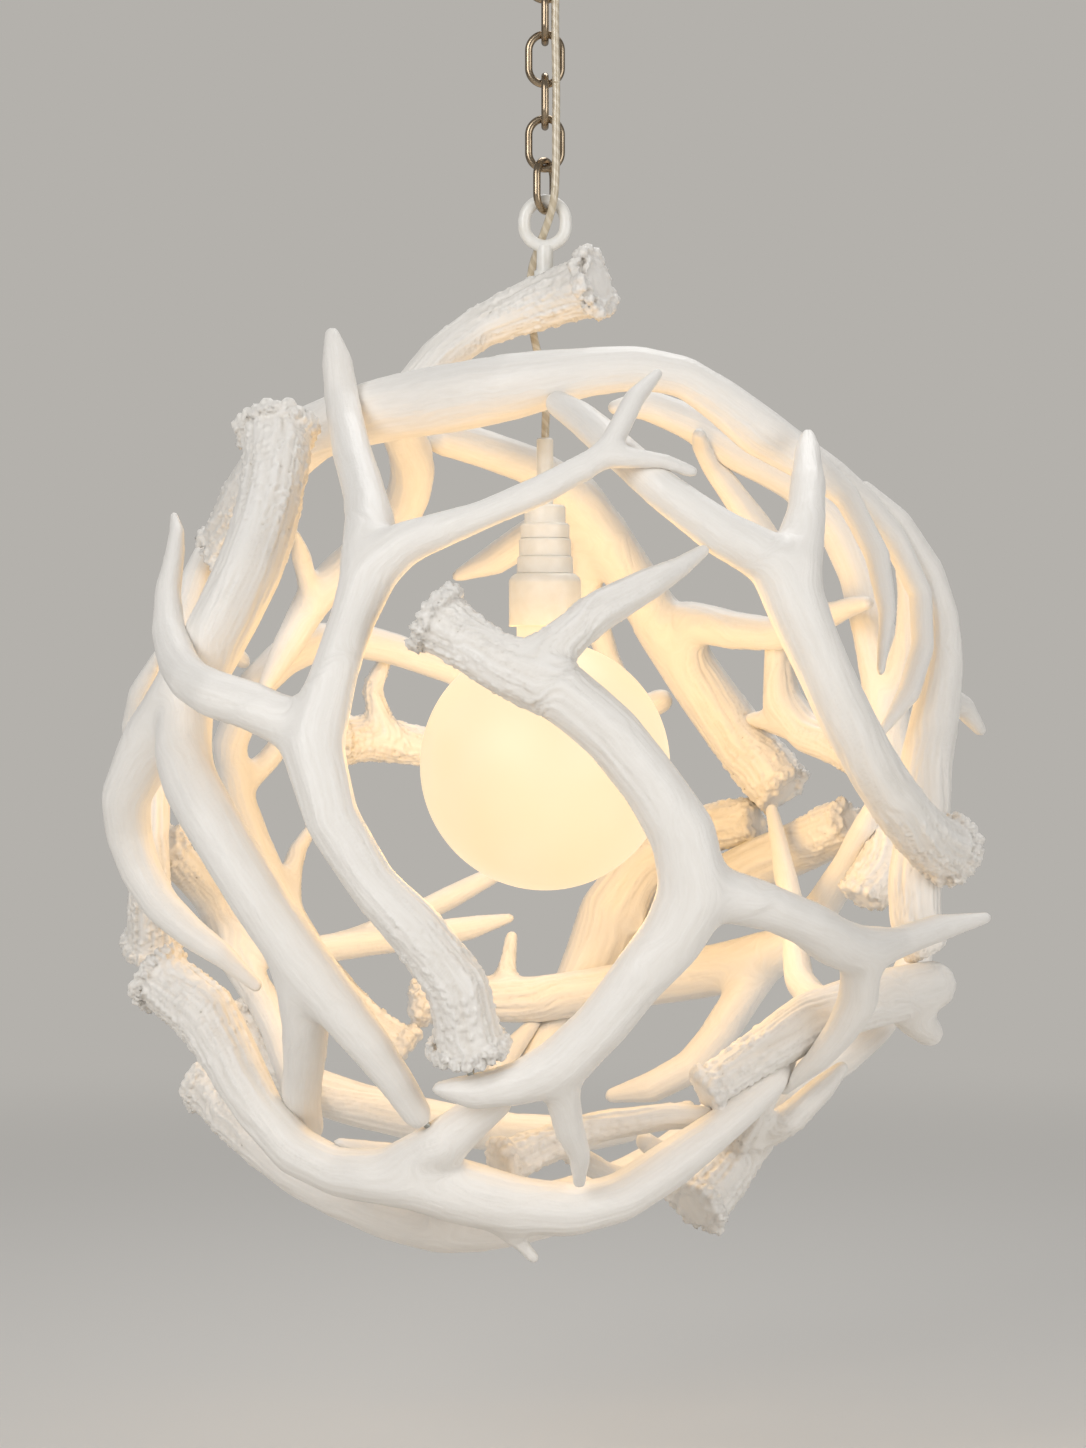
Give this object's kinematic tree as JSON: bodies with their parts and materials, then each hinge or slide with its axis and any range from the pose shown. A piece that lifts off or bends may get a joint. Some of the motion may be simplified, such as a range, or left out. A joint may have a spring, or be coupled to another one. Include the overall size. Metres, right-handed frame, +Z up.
{
  "type": "antler chandelier",
  "caption": "Ball of interlocked white antlers round an opal globe lamp, hung by a ring and an oval-link chain from a round ceiling canopy.",
  "frame": {"origin": "centre of the crossbar's two ceiling slots, on the ceiling plane and on the hanging axis", "axes": "+Z up out of the ceiling plane, -Y towards the front of the lamp, +X to its right"},
  "size_m": [0.5346, 0.5071, 0.8286],
  "materials": {
    "white_resin": "satin",
    "gold_cord": "clear gold",
    "aged_bronze": "aged bronze",
    "zinc_steel": "zinc plated",
    "white_metal": "satin white paint",
    "white_plastic": "satin",
    "porcelain": "glazed",
    "brass": "bright",
    "opal_glass": "opal, lit",
    "lamp_brass": "plated",
    "lamp_black": "moulded"
  },
  "bodies": {
    "ceiling": {"crossbar": "zinc_steel", "threaded_nipple": "zinc_steel", "locknut": "zinc_steel", "collar_loop": "aged_bronze", "cord_ceiling": "gold_cord"},
    "canopy": {"canopy": "aged_bronze", "collar_ring_nut": "aged_bronze"},
    "link_1": {"chain_link_1": "aged_bronze", "cord_link_1": "gold_cord"},
    "link_2": {"chain_link_2": "aged_bronze", "cord_chain": "gold_cord"},
    "link_3": {"chain_link_3": "aged_bronze"},
    "link_4": {"chain_link_4": "aged_bronze"},
    "link_5": {"chain_link_5": "aged_bronze"},
    "link_6": {"chain_link_6": "aged_bronze", "cord_link_6": "gold_cord"},
    "cage": {"hanging_eye": "white_metal", "antler_front_left": "white_resin", "antler_front_centre": "white_resin", "antler_front_right": "white_resin", "antler_top_arch": "white_resin", "antler_upper_left": "white_resin", "antler_lower_left": "white_resin", "antler_crown": "white_resin", "antler_right_side": "white_resin", "antler_lower_right_inner": "white_resin", "antler_bottom": "white_resin", "antler_lower_right": "white_resin", "antler_back_upper": "white_resin", "antler_back_cross": "white_resin", "antler_back_centre": "white_resin", "antler_back_right_lower": "white_resin", "antler_back_low": "white_resin", "antler_floor_inner": "white_resin", "antler_back_left": "white_resin", "antler_back_middle": "white_resin", "antler_back_left_low": "white_resin", "antler_back_floor": "white_resin", "antler_left_side": "white_resin", "antler_right_back": "white_resin", "joint_pins": "zinc_steel", "cord_cage": "gold_cord"},
    "lamp": {"cord_lamp": "gold_cord", "cord_grip": "white_plastic", "lampholder_cap": "white_plastic", "lampholder_skirt": "white_plastic", "lampholder_insulator": "porcelain", "screw_shell": "brass", "centre_contact": "brass"},
    "globe": {"globe_glass": "opal_glass", "lamp_base": "lamp_brass", "lamp_contact": "lamp_black"}
  },
  "joints": [
    {"name": "canopy_drop", "type": "slide", "parent": "ceiling", "child": "canopy", "axis": [0, 0, -1], "range_m": [0, 0.01]},
    {"name": "link_1_swing", "type": "hinge", "parent": "ceiling", "child": "link_1", "pos_m": [0, 0, -0.0606], "axis": [0, 1, 0], "range_deg": [-35, 35], "deforming": ["cord_ceiling", "cord_link_1"]},
    {"name": "link_2_swing", "type": "hinge", "parent": "link_1", "child": "link_2", "pos_m": [0, 0, -0.08565], "axis": [1, 0, 0], "range_deg": [-35, 35], "deforming": ["cord_chain"]},
    {"name": "link_3_turn", "type": "hinge", "parent": "link_2", "child": "link_3", "pos_m": [0, 0, -0.1212], "axis": [0, 0, 1], "range_deg": [-12, 12]},
    {"name": "link_4_turn", "type": "hinge", "parent": "link_2", "child": "link_4", "pos_m": [0, 0, -0.1465], "axis": [0, 0, 1], "range_deg": [-12, 12]},
    {"name": "link_5_turn", "type": "hinge", "parent": "link_2", "child": "link_5", "pos_m": [0, 0, -0.1718], "axis": [0, 0, 1], "range_deg": [-12, 8]},
    {"name": "link_6_swing", "type": "hinge", "parent": "link_2", "child": "link_6", "pos_m": [0, 0, -0.18685], "axis": [1, 0, 0], "range_deg": [-25, 25], "deforming": ["cord_link_6"]},
    {"name": "cage_swing", "type": "hinge", "parent": "link_6", "child": "cage", "pos_m": [0, 0, -0.21215], "axis": [0.5, 0.866, 0], "range_deg": [-22, 22], "deforming": ["cord_cage"]},
    {"name": "lamp_swing", "type": "hinge", "parent": "cage", "child": "lamp", "pos_m": [0, 0, -0.32555], "axis": [1, 0, 0], "range_deg": [-8, 8], "deforming": ["cord_lamp"]},
    {"name": "globe_withdraw", "type": "slide", "parent": "lamp", "child": "globe", "axis": [0, 0, -1], "range_m": [0, 0.042]}
  ]
}
